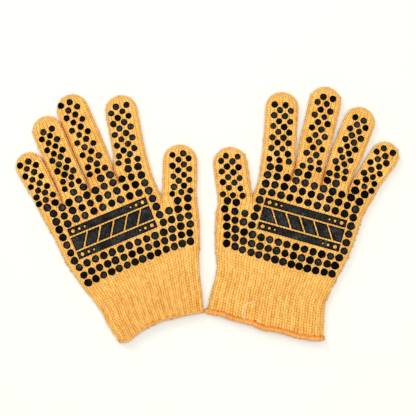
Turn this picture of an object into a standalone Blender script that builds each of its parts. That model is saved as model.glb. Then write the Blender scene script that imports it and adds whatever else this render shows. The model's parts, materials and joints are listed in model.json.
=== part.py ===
"""A pair of knitted work gloves with rubber grips, lying flat with their palms up.

Each glove is a flattened knitted tube: a ribbed cuff with a hem and elastic threads inside it, a
five-finger palm, a four-finger palm above it, and five hollow digits that bend at two places.
A raised rubber panel of two bars and a row of slats is bonded across the palm.

Lengths are in millimetres, in a glove frame with +X towards the thumb, +Y towards the fingers and
Z = 0 on the surface that the glove lies on. Y = 0 is the level of the thumb's crotch. Both gloves
are made by the same functions: the left one is mirrored, and each has its own spread of fingers.
"""

import math

import bmesh
import bpy
from mathutils import Matrix, Vector

MM = 0.001

# Knitted tube
THICKNESS = 11.0        # outside height of the flattened tube
WALL = 1.5              # thickness of the knitted fabric
GAP = 0.3               # clearance between neighbouring pieces
SIDE_STEPS = 5          # facets around each rounded side of the tube

# Levels across every glove, and distances along a digit from its first hinge
HINGE_LINE_Y = 44.0     # where the four fingers fold, a little above their crotches
CUFF_TOP_Y = -72.0
CUFF_END_Y = -113.0
SECOND_HINGE = {"index": 29.5, "middle": 38.0, "ring": 33.0, "little": 22.0}
FULL_WIDTH_AT = 22.0    # where a finger reaches its full width
TIP_SHARES = (0.0, 0.35, 0.6, 0.8, 0.92, 0.985)    # rings over the rounded fingertip

# Thumb
CROTCH_X = 56.0
THUMB_HALF = 17.0
THUMB_ROOT = 7.0        # knitted root of the thumb, between the palm and the first hinge
THUMB_BASE = 21.0
THUMB_TIP = 23.5
THUMB_SPREAD = 23.5

# Cuff
HEM_RADIUS = 1.9
HEM_OVERHANG = 0.6      # how far the hem's roll stands out beyond the cuff's sides
ELASTIC_RADIUS = 0.45
ELASTIC_COUNT = 4

# Rubber panel across the palm
RUBBER = 0.9            # height of the rubber above the fabric
PANEL_SIZE = (84.0, 32.5)
BAR_HEIGHT = 8.0
BAR_HOLES = ((5.0, 1.7), (11.8, 1.25), (17.4, 0.85))    # (distance from the bar's end, radius)
HOLE_SIDES = 10
SLAT_COUNT = 6
SLAT_GAP = 1.3
SLAT_LEAN = 9.0         # how far a slat's top edge is shifted along the panel

# The two gloves. place and turn lay the glove on the surface. A digit has the X of its first hinge,
# its spread towards the thumb in degrees, its half-width at the hinge and further out, and its
# length. palm_edges are the little-finger and thumb sides of the palm at some levels.
GLOVES = {
    "right": {
        "side": 1,
        "place": (-96.9, -3.8),
        "turn": 22.5,
        "digits": {
            "index": (41.0, 12.0, 16.4, 15.8, 66.0),
            "middle": (8.4, -0.8, 14.4, 15.6, 84.0),
            "ring": (-21.6, -0.9, 14.2, 14.3, 72.7),
            "little": (-49.4, -7.5, 12.6, 13.5, 46.5),
        },
        "upper_edges": ((0.0, -56.0, 54.0), (14.0, -58.5, 54.4), (30.0, -61.5, 55.8), (44.0, -62.6, 57.6)),
        "lower_edges": ((0.3, -55.5, 85.2), (0.6, -51.0, 79.5), (0.85, -46.0, 73.0)),
        "cuff_top": (-44.0, 67.5),
        "cuff_end": (-38.5, 54.5),
        "hem_drop": 4.0,
        "panel_centre": (0.8, -10.8),
    },
    "left": {
        "side": -1,
        "place": (98.5, 2.3),
        "turn": -15.8,
        "digits": {
            "index": (41.4, 12.3, 16.9, 16.3, 65.0),
            "middle": (9.4, 2.6, 14.2, 15.9, 80.5),
            "ring": (-19.9, -5.8, 13.8, 15.6, 70.5),
            "little": (-48.6, -18.5, 12.9, 14.2, 45.8),
        },
        "upper_edges": ((0.0, -54.0, 54.2), (14.0, -55.5, 54.6), (30.0, -59.5, 56.4), (44.0, -63.2, 58.6)),
        "lower_edges": ((0.3, -52.8, 86.2), (0.6, -49.5, 82.0), (0.85, -45.0, 76.0)),
        "cuff_top": (-43.0, 72.0),
        "cuff_end": (-48.0, 67.5),
        "hem_drop": 3.0,
        "panel_centre": (1.6, -13.2),
    },
}

COLOURS = {
    "knit": (0.76, 0.40, 0.11),
    "hem": (0.85, 0.33, 0.06),
    "elastic": (0.85, 0.80, 0.70),
    "rubber": (0.025, 0.019, 0.015),
}
ROUGHNESS = {"knit": 0.95, "hem": 0.9, "elastic": 0.6, "rubber": 0.55}


def clear_scene():
    for obj in list(bpy.data.objects):
        bpy.data.objects.remove(obj)


def material_for(name, finish):
    """A material of the piece's own, in one of the four finishes."""
    made = bpy.data.materials.new(name)
    made.use_nodes = True
    shader = made.node_tree.nodes["Principled BSDF"]
    shader.inputs["Base Color"].default_value = (*COLOURS[finish], 1.0)
    shader.inputs["Roughness"].default_value = ROUGHNESS[finish]
    shader.inputs["Metallic"].default_value = 0.0
    return made


# Tubes of knitted fabric


def section(left, right, height=THICKNESS, extra=()):
    """Points (x, z) round a flattened tube that spans left to right. extra gives places across it
    where its flat faces need a point."""
    radius = height / 2
    middle = THICKNESS / 2
    turns = [math.pi * i / SIDE_STEPS for i in range(SIDE_STEPS + 1)]
    right_side = [(right - radius * (1 - math.sin(a)), middle - radius * math.cos(a)) for a in turns]
    left_side = [(left + radius * (1 - math.sin(a)), middle + radius * math.cos(a)) for a in turns]
    top = [(x, middle + radius) for x in sorted(extra, reverse=True)]
    bottom = [(x, middle - radius) for x in sorted(extra)]
    return right_side + top + left_side + bottom


def ring_at(y, left, right, extra=(), height=THICKNESS):
    """One ring of points round the tube. y is a number, or a function of x for an oblique ring."""
    level = y if callable(y) else lambda x: y
    return [(x, level(x), z) for x, z in section(left, right, height, extra)]


def knitted_tube(name, rings, side, closed_end=False):
    """A tube of the fabric's thickness through rings of points. Its outside is on the points."""
    shape = bmesh.new()
    loops = [[shape.verts.new(Vector((side * x, y, z)) * MM) for x, y, z in ring] for ring in rings]
    count = len(loops[0])
    for near, far in zip(loops, loops[1:]):
        for i in range(count):
            j = (i + 1) % count
            shape.faces.new((near[i], near[j], far[j], far[i]))
    if closed_end:
        shape.faces.new(loops[-1])
    shape.normal_update()
    shape.faces.ensure_lookup_table()
    right_edge = shape.faces[SIDE_STEPS // 2]
    if right_edge.normal.x * side < 0:
        bmesh.ops.reverse_faces(shape, faces=shape.faces)
    mesh = bpy.data.meshes.new(name)
    shape.to_mesh(mesh)
    shape.free()
    obj = bpy.data.objects.new(name, mesh)
    fabric = obj.modifiers.new("fabric", "SOLIDIFY")
    fabric.thickness = WALL * MM
    fabric.offset = -1.0
    fabric.use_even_offset = True
    return obj


# Palm and thumb root


def upper_palm(name, glove):
    """The palm above the thumb's crotch, up to the line where the fingers fold."""
    levels = [list(edges) for edges in glove["upper_edges"]]
    levels[0][0] += GAP / 2
    levels[-1][0] -= GAP / 2
    return knitted_tube(name, [ring_at(*edges) for edges in levels], glove["side"])


def thumb_line(x):
    """Y of the palm's top edge, level up to the crotch and then falling along the thumb's root."""
    return -math.tan(math.radians(THUMB_SPREAD)) * max(0.0, x - CROTCH_X)


def lower_palm(name, glove):
    """The palm below the thumb's crotch, down to the cuff."""
    outer = CROTCH_X + 2 * THUMB_HALF * math.cos(math.radians(THUMB_SPREAD))
    bottom = CUFF_TOP_Y + GAP / 2
    stations = [(0.0, glove["upper_edges"][0][1], outer), *glove["lower_edges"], (1.0, *glove["cuff_top"])]
    rings = []
    for share, left, right in stations:
        def level(x, share=share):
            return (thumb_line(x) - GAP / 2) * (1 - share) + bottom * share
        rings.append(ring_at(level, left, right, extra=(CROTCH_X, CROTCH_X - 12.0)))
    return knitted_tube(name, rings, glove["side"])


# Cuff


def cuff_edges(glove, share):
    """The cuff's two sides, from its top (0) to its hem (1)."""
    return [a + share * (b - a) for a, b in zip(glove["cuff_top"], glove["cuff_end"])]


def cuff_level(glove, share, offset=0.0):
    """A function that gives Y across the cuff: its end drops towards the thumb's side."""
    left, right = cuff_edges(glove, share)

    def level(x):
        drop = glove["hem_drop"] * (x - left) / (right - left)
        return CUFF_TOP_Y + share * (CUFF_END_Y - CUFF_TOP_Y - drop) + offset

    return level


def cuff(name, glove):
    rings = [ring_at(cuff_level(glove, 0.0, -GAP / 2), *cuff_edges(glove, 0.0))]
    rings += [ring_at(cuff_level(glove, share), *cuff_edges(glove, share)) for share in (0.35, 0.7, 1.0)]
    return knitted_tube(name, rings, glove["side"])


def closed_cord(name, ring, radius, side):
    """A closed round cord along a ring of points."""
    curve = bpy.data.curves.new(name, "CURVE")
    curve.dimensions = "3D"
    spline = curve.splines.new("POLY")
    spline.points.add(len(ring) - 1)
    for point, (x, y, z) in zip(spline.points, ring):
        point.co = (side * x * MM, y * MM, z * MM, 1.0)
    spline.use_cyclic_u = True
    curve.bevel_depth = radius * MM
    curve.bevel_resolution = 1
    return bpy.data.objects.new(name, curve)


def hem(name, glove):
    left, right = cuff_edges(glove, 1.0)
    inset = HEM_RADIUS - HEM_OVERHANG
    ring = ring_at(cuff_level(glove, 1.0, -GAP - HEM_RADIUS), left + inset, right - inset,
                   height=THICKNESS - 2 * HEM_RADIUS)
    return closed_cord(name, ring, HEM_RADIUS, glove["side"])


def elastic(name, glove, number):
    """A thin elastic thread that runs round inside the cuff."""
    share = number / (ELASTIC_COUNT + 1)
    inset = WALL + GAP + ELASTIC_RADIUS
    left, right = cuff_edges(glove, share)
    ring = ring_at(cuff_level(glove, share), left + inset, right - inset, height=THICKNESS - 2 * inset)
    return closed_cord(name, ring, ELASTIC_RADIUS, glove["side"])


# Digits, along +Y from their hinge


def finger_base(name, glove, spread, root, half, length):
    """From the fold line, which is oblique to the finger, to the second hinge."""
    skew = math.tan(math.radians(spread))
    rings = []
    for share in (0.0, 0.5, 1.0):
        width = root + share * (half - root)
        start = GAP / 2 + share * FULL_WIDTH_AT

        def level(x, start=start, slope=skew * (1 - share)):
            return start + slope * x

        rings.append(ring_at(level, -width, width))
    if length - GAP > FULL_WIDTH_AT + 1.0:
        rings.append(ring_at(length - GAP / 2, -half, half))
    else:
        rings[-1] = ring_at(length - GAP / 2, -half, half)
    return knitted_tube(name, rings, glove["side"])


def straight_tube(name, glove, half, length):
    rings = [ring_at(GAP / 2, -half, half), ring_at(length - GAP / 2, -half, half)]
    return knitted_tube(name, rings, glove["side"])


def fingertip(name, glove, half, length):
    """From the second hinge to the closed, rounded end."""
    start = length - half
    rings = [ring_at(GAP / 2, -half, half)]
    for share in TIP_SHARES:
        height = THICKNESS * math.sqrt(1.0 - (0.84 * share) ** 4)
        width = max(half * math.sqrt(1.0 - share ** 2), height / 2 + 0.4)
        rings.append(ring_at(start + share * half, -width, width, height=height))
    return knitted_tube(name, rings, glove["side"], closed_end=True)


def along(point, spread, distance):
    """The point this far along a digit that is spread towards the thumb."""
    angle = math.radians(spread)
    return point[0] + distance * math.sin(angle), point[1] + distance * math.cos(angle)


def thumb_start():
    """Middle of the line where the thumb leaves the palm."""
    angle = math.radians(THUMB_SPREAD)
    reach = THUMB_HALF + 0.5
    return CROTCH_X + reach * math.cos(angle), -reach * math.sin(angle)


# Rubber panel


def rubber_plate(name, glove, outline, holes=()):
    """A flat rubber shape just above the fabric, with round holes."""
    side = glove["side"]
    curve = bpy.data.curves.new(name, "CURVE")
    curve.dimensions = "2D"
    curve.fill_mode = "BOTH"
    curve.extrude = RUBBER / 2 * MM
    steps = [2 * math.pi * k / HOLE_SIDES for k in range(HOLE_SIDES)]
    circles = [[(x + r * math.cos(a), y + r * math.sin(a)) for a in steps] for x, y, r in holes]
    for points in [outline, *circles]:
        spline = curve.splines.new("POLY")
        spline.points.add(len(points) - 1)
        for point, (x, y) in zip(spline.points, points):
            point.co = (side * x * MM, y * MM, 0.0, 1.0)
        spline.use_cyclic_u = True
    obj = bpy.data.objects.new(name, curve)
    x, y = glove["panel_centre"]
    obj.location = (side * x * MM, y * MM, (THICKNESS + GAP + RUBBER / 2) * MM)
    return obj


def grip_bar(name, glove, row):
    """The long bar along the panel's upper edge (row 1) or lower edge (row -1)."""
    half_x, half_y = PANEL_SIZE[0] / 2, PANEL_SIZE[1] / 2
    inner, outer = row * (half_y - BAR_HEIGHT), row * half_y
    outline = [(-half_x, inner), (half_x, inner), (half_x, outer), (-half_x, outer)]
    holes = [(end * (half_x - distance), (inner + outer) / 2, radius)
             for end in (-1, 1) for distance, radius in BAR_HOLES]
    return rubber_plate(name, glove, outline, holes)


def grip_slat(name, glove, number):
    """One of the leaning slats between the bars. The first and the last are upright on the outside."""
    half_x = PANEL_SIZE[0] / 2
    half_y = PANEL_SIZE[1] / 2 - BAR_HEIGHT - SLAT_GAP
    pitch = (PANEL_SIZE[0] + SLAT_GAP) / SLAT_COUNT
    left = -half_x + (number - 1) * pitch
    right = left + pitch - SLAT_GAP
    lean_left = 0.0 if number == 1 else SLAT_LEAN / 2
    lean_right = 0.0 if number == SLAT_COUNT else SLAT_LEAN / 2
    outline = [(left - lean_left, -half_y), (right - lean_right, -half_y),
               (right + lean_right, half_y), (left + lean_left, half_y)]
    return rubber_plate(name, glove, outline)


# Assembly


class Glove:
    """One glove's collection and the empty that lays it on the surface."""

    def __init__(self, hand, glove, pair):
        self.hand = hand
        self.glove = glove
        self.collection = bpy.data.collections.new(hand + "_glove")
        pair.children.link(self.collection)
        self.frame = bpy.data.objects.new(hand + "_glove_frame", None)
        x, y = glove["place"]
        self.frame.location = (x * MM, y * MM, 0.0)
        self.frame.rotation_euler = (0.0, 0.0, math.radians(glove["turn"]))
        self.collection.objects.link(self.frame)

    def add(self, maker, part, finish, *values):
        name = self.hand + "_" + part
        obj = maker(name, self.glove, *values)
        obj.data.materials.append(material_for(name, finish))
        obj.parent = self.frame
        self.collection.objects.link(obj)
        return obj

    def hinge(self, obj, point, spread):
        """Puts the object's origin on its hinge, which lies in the tube's upper face."""
        side = self.glove["side"]
        obj.data.transform(Matrix.Translation((0.0, 0.0, -THICKNESS * MM)))
        obj.location = (side * point[0] * MM, point[1] * MM, THICKNESS * MM)
        obj.rotation_euler = (0.0, 0.0, -side * math.radians(spread))

    def add_palm(self):
        self.add(upper_palm, "upper_palm", "knit")
        self.add(lower_palm, "lower_palm", "knit")
        self.add(cuff, "cuff", "knit")
        self.add(hem, "cuff_hem", "hem")
        for number in range(1, ELASTIC_COUNT + 1):
            self.add(elastic, f"cuff_elastic_{number}", "elastic", number)

    def add_panel(self):
        self.add(grip_bar, "grip_bar_upper", "rubber", 1)
        self.add(grip_bar, "grip_bar_lower", "rubber", -1)
        for number in range(1, SLAT_COUNT + 1):
            self.add(grip_slat, f"grip_slat_{number}", "rubber", number)

    def add_finger(self, finger):
        x, spread, root, half, length = self.glove["digits"][finger]
        first = (x, HINGE_LINE_Y)
        middle = SECOND_HINGE[finger]
        base = self.add(finger_base, finger + "_base", "knit", spread, root, half, middle)
        self.hinge(base, first, spread)
        tip = self.add(fingertip, finger + "_tip", "knit", half, length - middle)
        self.hinge(tip, along(first, spread, middle), spread)

    def add_thumb(self):
        start = thumb_start()
        first = along(start, THUMB_SPREAD, THUMB_ROOT)
        second = along(first, THUMB_SPREAD, THUMB_BASE)
        root = self.add(straight_tube, "thumb_root", "knit", THUMB_HALF, THUMB_ROOT)
        self.hinge(root, start, THUMB_SPREAD)
        base = self.add(straight_tube, "thumb_base", "knit", THUMB_HALF, THUMB_BASE)
        self.hinge(base, first, THUMB_SPREAD)
        tip = self.add(fingertip, "thumb_tip", "knit", THUMB_HALF, THUMB_TIP)
        self.hinge(tip, second, THUMB_SPREAD)


def main():
    clear_scene()
    pair = bpy.data.collections.new("work_gloves")
    bpy.context.scene.collection.children.link(pair)
    for hand, values in GLOVES.items():
        glove = Glove(hand, values, pair)
        glove.add_palm()
        glove.add_panel()
        for finger in values["digits"]:
            glove.add_finger(finger)
        glove.add_thumb()


main()
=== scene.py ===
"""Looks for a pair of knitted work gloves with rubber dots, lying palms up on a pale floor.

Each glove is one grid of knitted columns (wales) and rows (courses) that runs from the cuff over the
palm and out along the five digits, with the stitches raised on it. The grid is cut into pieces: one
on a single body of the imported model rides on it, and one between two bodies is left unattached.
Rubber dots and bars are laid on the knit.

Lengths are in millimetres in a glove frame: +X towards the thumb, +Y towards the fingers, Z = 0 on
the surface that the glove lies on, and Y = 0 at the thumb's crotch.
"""

import math

import bpy
import numpy as np
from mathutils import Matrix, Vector
from mathutils.bvhtree import BVHTree
from mathutils.geometry import delaunay_2d_cdt
from mathutils.kdtree import KDTree
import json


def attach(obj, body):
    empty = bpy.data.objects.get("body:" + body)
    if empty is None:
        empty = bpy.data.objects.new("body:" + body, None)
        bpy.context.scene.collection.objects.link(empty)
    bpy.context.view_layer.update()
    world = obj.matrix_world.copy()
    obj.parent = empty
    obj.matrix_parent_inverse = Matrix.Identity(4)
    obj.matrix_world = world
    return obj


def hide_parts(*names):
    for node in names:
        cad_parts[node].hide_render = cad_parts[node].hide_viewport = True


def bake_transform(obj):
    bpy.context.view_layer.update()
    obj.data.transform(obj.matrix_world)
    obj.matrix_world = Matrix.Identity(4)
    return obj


MM = 0.001
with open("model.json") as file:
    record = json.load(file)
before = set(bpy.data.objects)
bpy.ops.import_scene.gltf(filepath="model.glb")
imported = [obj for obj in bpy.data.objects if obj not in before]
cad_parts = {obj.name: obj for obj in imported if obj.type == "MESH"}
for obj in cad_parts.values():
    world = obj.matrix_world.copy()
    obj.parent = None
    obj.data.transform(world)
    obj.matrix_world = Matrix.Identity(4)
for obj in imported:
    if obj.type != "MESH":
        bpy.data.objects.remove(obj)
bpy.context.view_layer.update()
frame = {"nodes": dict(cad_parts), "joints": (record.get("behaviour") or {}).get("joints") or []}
joints = {joint["name"]: joint for joint in frame["joints"]}

# Knit
COLUMNS = 6             # grid columns in a wale
ROWS = 4                # grid rows in a course
ROW = 0.64              # height of a grid row
WALE_WIDTH = 2.9        # usual width of a wale
DEPTH = 5.4             # half the thickness of the flattened tube
MIDDLE = 5.5            # height of the tube's middle
SIDE_REACH = 9.0        # how far in from its edge the tube is rounded
SIDE_POWER = 2.3        # squareness of that rounding: 2 is an ellipse
STITCH_HEIGHT = 0.62
TWO_LEGS = 0.55         # share of a stitch's height in its two legs
HUMP = 0.45             # and in the hump across the wale
LEG_SLANT = 1.3         # courses that a leg climbs, per wale
LEG_LEAN = 0.5          # courses that the whole stitch leans, per wale
CALM_WALES = 1.5        # wales without stitches beside the slit between two digits
FLANK_HEIGHT = 4.2      # how far from the tube's middle its sides reach
WELD = 2e-3             # points that round to the same multiple of this are one
WALES = {"index": 10, "middle": 9, "ring": 9, "little": 7, "thumb": 9}
FINGERS = ("little", "ring", "middle", "index")
FINGER_WALES = sum(WALES[finger] for finger in FINGERS)
FIRST_ROW = 300         # number of the grid row where the thumb starts

# Levels and places
WRIST = -72.0
FINGER_START = 22.0     # where the grid of each finger begins, below its crotches
THUMB_START = -12.0     # and that of the thumb
CUFF_START = -63.0
CUFF_LENGTH = 54.0
THUMB_JOIN = np.array([53.0, THUMB_START])      # where the thumb's inner side leaves the palm
THUMB_CROTCH = np.array([56.0, 0.0])
THUMB_DROP = 13.0       # how far below THUMB_START the thumb's outer side leaves the palm
THUMB_LEAD = 7.0        # how far before its first joint the thumb stands free of the palm
LITTLE_DROP = 3.0       # level of the little finger's outer side below its crotch
INDEX_DROP = 5.0        # and of the index finger's
CROTCH_ROWS = 24        # grid rows from the start of a digit to its crotch
BEND = 8.0              # half the length of fabric at a joint, given to the pieces there
THUMB_BEND = 6.0
WRIST_BEND = 9.0

# Cuff
RIB_WALES = 3
RIB_HEIGHT = 0.8
RIB_FADE = 22.0         # length over which the ribs rise out of the palm
HEM_RIBS = -96.0        # where the ribs begin to deepen towards the hem
HEM_FADE = 18.0
FABRIC = 1.5
ELASTIC_INSET = FABRIC + 0.6
ELASTIC_RADIUS = 0.35
THREAD_RADIUS = 0.3
HEM_STEP = 0.6          # between the rings of the hem's roll
HEM_SIDES = 14
HEM_INSET = 0.75

# Fuzz
FIBRE_RADII = np.array([0.075, 0.07, 0.06, 0.03])
FIBRE_SIDES = 3
FIBRE_POINTS = FIBRE_SIDES * len(FIBRE_RADII)
TUFT = 9                # fibres that stand together where the yarn is pulled
TUFT_THICKNESS = 2.8    # of a tuft's fibres, in times a lone one's

# Rubber
DOT_RADIUS = 4.0
FINGER_DOT_RADIUS = 3.27
DOT_HEIGHT = 0.85
DOT_SIDES = 22
DOT_GAP = 0.55
RIM_SHADE = (1.0, 1.0, 1.0, 0.75, 0.3, 0.0, 0.0)        # painted shade, from a dot's rim to its top, ring by ring
PANEL_SIZE = (84.0, 32.5)
BAR_HEIGHT = 8.0
BAR_HOLES = ((5.0, 1.7), (11.8, 1.25), (17.4, 0.85))    # (distance from the bar's end, radius)
HOLE_SIDES = 20
SLAT_COUNT = 6
SLAT_GAP = 1.3
SLAT_LEAN = 9.0
RUBBER = 0.9

# The two gloves. little_side and thumb_side are (y, x) down the glove's edges; crotches are the points
# between fingers, from the thumb's side; hem is (share across, y). A line of dots has its first
# point, its last point, its count and its bow. finger_dots are, in a digit's own frame, the level of
# the row of three, the level of the first pair, the pitch, the count of pairs, the middle of the
# lattice at its root and its shift towards the tip, the spacing, and the rise across a row. These
# numbers are measured from the photograph, and those of finger_dots were fitted to it by a program.
GLOVES = {
    "right": {
        "side": 1,
        "wrist_x": 11.75,
        "print_shift": (1.3, -0.5),
        "panel_centre": (-0.8, -10.2),
        "little_side": ((44, -62.6), (35, -61.6), (28, -60.8), (15, -59.5), (0, -57.5), (-18, -57),
                        (-40, -53.3),
                        (-60, -48.5), (-72, -44.5), (-83, -42), (-95, -41.2), (-108, -39), (-122, -36)),
        "thumb_side": ((-14, 87), (-25, 84.5), (-40, 79.5), (-55, 73.5), (-70, 67), (-82, 62.6),
        (-95, 58.6),
                       (-108, 55), (-122, 50.5)),
        "upper_side": ((44, 57.6), (30, 55.8), (14, 54.6), (0, 56)),
        "crotches": ((21.9, 39), (-6.4, 42.4), (-36.7, 35.9)),
        "hem": ((0, -116.6), (0.1, -118), (0.18, -115.6), (0.3, -113.4), (0.45, -112.6), (0.6, -113.2),
                (0.73, -114.9), (0.86, -117.5), (1, -120.4)),
        "wider": {"little": (0.0, 1.7), "ring": (1.7, 0.2), "middle": (0.2, 0.0)},
        "hem_radius": 1.5,
        "rib_share": 1.0,
        "dot_lines": (
            ((45.1, 11.0), (-50.8, 9.8), 11, 2.8), ((44.6, 19.6), (-50.8, 17.9), 11, 3.6),
            ((44.1, 28.1), (-51, 25.7), 11, 4.3), ((44.7, 36.6), (34.7, 38.4), 2, 0), ((15.7, 39.9),
            (6.2, 40), 2, 0),
            ((-13.2, 38.6), (-23.2, 37.4), 2, 0), ((-43.5, 35), (-52.4, 33.5), 2, 0),
            ((45.8, 2.1), (46.3, -23.7), 4, 0), ((-50.6, 0.7), (-48.8, -24.8), 4, 0),
            ((67.9, -9), (77.9, -11.3), 2, 0), ((55.9, -15.1), (74.5, -19.1), 3, 0),
            ((54.8, -24.4), (72.2, -27.2), 3, 0), ((70, -35.3), (-47.3, -32.5), 14, 1.9),
            ((66.9, -42.6), (-45.8, -41.4), 14, 1.5), ((62.9, -49.9), (-43.1, -49.8), 14, 0.8)),
        "finger_dots": {
            "index": (0.9, 6.8, 5.4, 10, -3.7, 0.6, 10.9, 0.0),
            "middle": (4.2, 11.0, 6.6, 11, -2.5, -0.5, 9.5, 0.0),
            "ring": (0.5, 7.2, 5.85, 10, -1.1, -3.3, 9.3, 0.0),
            "little": (-2.9, 2.9, 6.0, 7, -2.9, 2.0, 9.4, -0.1),
            "thumb": (4.6, 10.8, 5.25, 7, 0.4, -1.5, 10.1, 0.19)},
    },
    "left": {
        "side": -1,
        "wrist_x": 14.5,
        "print_shift": (0.0, -0.4),
        "panel_centre": (1.6, -13.2),
        "little_side": ((44, -63.2), (35, -61), (25, -57.6), (11.5, -54.4), (-10, -53), (-32, -51.2),
                        (-50, -47.6),
                        (-71, -43.2), (-83, -41.6), (-100, -44.8), (-115, -48.4), (-124, -50)),
        "thumb_side": ((-14, 88.5), (-22, 87), (-40, 83), (-60, 77), (-78, 70.8), (-97, 70),
        (-108, 69.6), (-124, 68.3)),
        "upper_side": ((44, 58.6), (30, 56.4), (14, 54.8), (0, 56)),
        "crotches": ((23.7, 35.4), (-6, 38.4), (-33.3, 32)),
        "hem": ((0, -116), (0.08, -118.4), (0.22, -120), (0.4, -120.4), (0.48, -121.2), (0.6, -120.4),
                (0.75, -121), (0.86, -120), (1, -121)),
        "wider": {},
        "loose_thread": ((26.9, -99.1), (32.1, -102.6), (35, -108.1), (33.6, -115.3), (29, -119.5)),
        "hem_radius": 2.7,
        "rib_share": 0.8,
        "dot_lines": (
            ((48.2, 8), (-44.8, 7.8), 11, 1.6), ((47.4, 16.6), (-45.3, 16.2), 11, 2.1),
            ((47.8, 25.3), (-46.8, 23.8), 11, 2.7), ((47.9, 33.4), (38.6, 34.4), 2, 0), ((19, 35.4),
            (9.4, 35.7), 2, 0),
            ((-10.4, 35.8), (-19.3, 35), 2, 0), ((-39.5, 33.9), (-49.1, 31.7), 2, 0),
            ((48.6, -0.7), (49.4, -26.6), 4, 0), ((-44.5, -1.3), (-43.3, -26.5), 4, 0),
            ((70, -10), (79.2, -10.6), 2, 0), ((59, -17.5), (79, -19), 3, 0), ((58.3, -26.4),
            (75, -26.2), 3, 0),
            ((72.6, -34.7), (-42.5, -34.5), 14, -1.2), ((70.1, -42.6), (-40.8, -42.7), 14, -1.9),
            ((66.7, -50.3), (-38.8, -50.4), 14, -2.8)),
        "finger_dots": {
            "index": (-2.3, 4.1, 5.4, 10, -0.3, -0.4, 10.8, 0.0),
            "middle": (-0.5, 6.4, 6.4, 11, -0.7, 1.6, 9.5, 0.0),
            "ring": (-1.3, 5.7, 5.9, 10, 1.6, -2.5, 9.0, 0.0),
            "little": (-3.9, 1.8, 6.1, 7, 0.4, 2.8, 9.4, -0.13),
            "thumb": (4.4, 11.3, 5.3, 7, 1.5, -1.4, 10.8, 0.22)},
    },
}


# Small mathematics


def smooth(t):
    t = np.clip(t, 0.0, 1.0)
    return t * t * (3 - 2 * t)


def along_curve(knots, points, at):
    """A smooth curve through points, at these values of its parameter."""
    knots, points, at = (np.asarray(values, float) for values in (knots, points, at))
    if points.ndim == 1:
        points = points[:, None]
    steps = np.diff(knots)[:, None]
    slopes = np.diff(points, axis=0) / steps
    inner = (slopes[1:] * steps[:-1] + slopes[:-1] * steps[1:]) / (steps[1:] + steps[:-1])
    tangents = np.vstack([slopes[:1], inner, slopes[-1:]])
    i = np.clip(np.searchsorted(knots, at, side="right") - 1, 0, len(knots) - 2)
    h = steps[i]
    t = (at[:, None] - knots[i][:, None]) / h
    made = ((1 + 2 * t) * (1 - t) ** 2 * points[i] + t * (1 - t) ** 2 * h * tangents[i]
            + t * t * (3 - 2 * t) * points[i + 1] - t * t * (1 - t) * h * tangents[i + 1])
    return made[:, 0] if made.shape[1] == 1 else made


def ripple(x, y, seed, size):
    """Slow, irregular waves between about -1 and 1, with bumps of this size."""
    total = np.zeros_like(np.asarray(x, float))
    for k in range(6):
        angle = 2.39996 * (k + seed)
        rate = 2 * math.pi / (size * (0.8 + 0.25 * k))
        total += np.sin(rate * (x * math.cos(angle) + y * math.sin(angle)) + 1.7 * k + 3.1 * seed)
    return total / 3.2


def between(start, end, share):
    return start * (1 - share) + end * share


def whole_courses(length):
    """The grid rows in this length, as whole courses."""
    return int(length / ROW / ROWS) * ROWS


def opening(rows):
    """0 where a side is still joined to its neighbour, up to 1 past the crotch."""
    joined = smooth(np.linspace(0, 1, CROTCH_ROWS + 1))
    return np.concatenate([joined, np.ones(rows - CROTCH_ROWS - 1)])


def edge_points(glove, side, y):
    """Points down one side of the glove, at these levels."""
    levels, across = zip(*sorted(glove[side]))
    y = np.atleast_1d(y)
    return np.column_stack([along_curve(levels, across, y), y])


# The knitted grid


def side_profile(width, depth, shares):
    """(distance from the edge, height) at these shares of the way from the tube's edge to its middle."""
    reach = min(width / 2, SIDE_REACH)
    turn = np.linspace(0, math.pi / 2, 33)
    out = reach * (1 - np.cos(turn) ** (2 / SIDE_POWER))
    up = depth * np.sin(turn) ** (2 / SIDE_POWER)
    if width / 2 > reach:
        out, up = np.append(out, width / 2), np.append(up, depth)
    length = np.concatenate([[0], np.cumsum(np.hypot(np.diff(out), np.diff(up)))])
    at = shares * length[-1]
    return np.interp(at, length, out), np.interp(at, length, up)


class Grid:
    """Rows and columns of one part of the tube: its top half and its bottom half."""

    def __init__(self, piece, left, right, wales, first_wale, first_row, rolls=(1.0, 1.0), depth=DEPTH):
        """left and right are the ends of each row. rolls are, for each side, 1 where it is rounded down to
        the tube's middle, and 0 where the fabric goes on flat into its neighbour."""
        self.piece, self.left, self.right = piece, left, right
        rows, columns = len(left), wales * COLUMNS
        self.shape = (rows, columns + 1)
        roll_left, roll_right, depth = (np.broadcast_to(values, rows) for values in (*rolls, depth))
        share = np.linspace(0, 1, columns + 1)
        from_edge = 2 * np.minimum(share, 1 - share)
        on_right = share > 0.5
        plan = np.zeros((rows, columns + 1, 2))
        height = np.zeros((rows, columns + 1))
        for row in range(rows):
            across = right[row] - left[row]
            width = max(np.hypot(*across), 1e-6)
            out, up = side_profile(width, depth[row], from_edge)
            roll = np.where(on_right, roll_right[row], roll_left[row])
            out = out * roll + from_edge * width / 2 * (1 - roll)
            height[row] = up * roll + depth[row] * (1 - roll)
            place = np.where(on_right, width - out, out) / width
            plan[row] = left[row] + place[:, None] * across
        open_side = 1 - smooth(from_edge * wales / 2 / CALM_WALES)
        flat = np.where(on_right[None, :], 1 - roll_right[:, None], 1 - roll_left[:, None])
        crease = (flat > 1e-6) & (flat < 1 - 1e-6)
        self.calm = 1 - open_side[None, :] * crease
        self.top = np.dstack([plan, MIDDLE + height])
        self.bottom = np.dstack([plan, MIDDLE - height])
        self.wale = np.broadcast_to(first_wale + share * wales, self.shape)
        self.course = np.broadcast_to(((first_row + np.arange(rows)) / ROWS)[:, None], self.shape)


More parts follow.
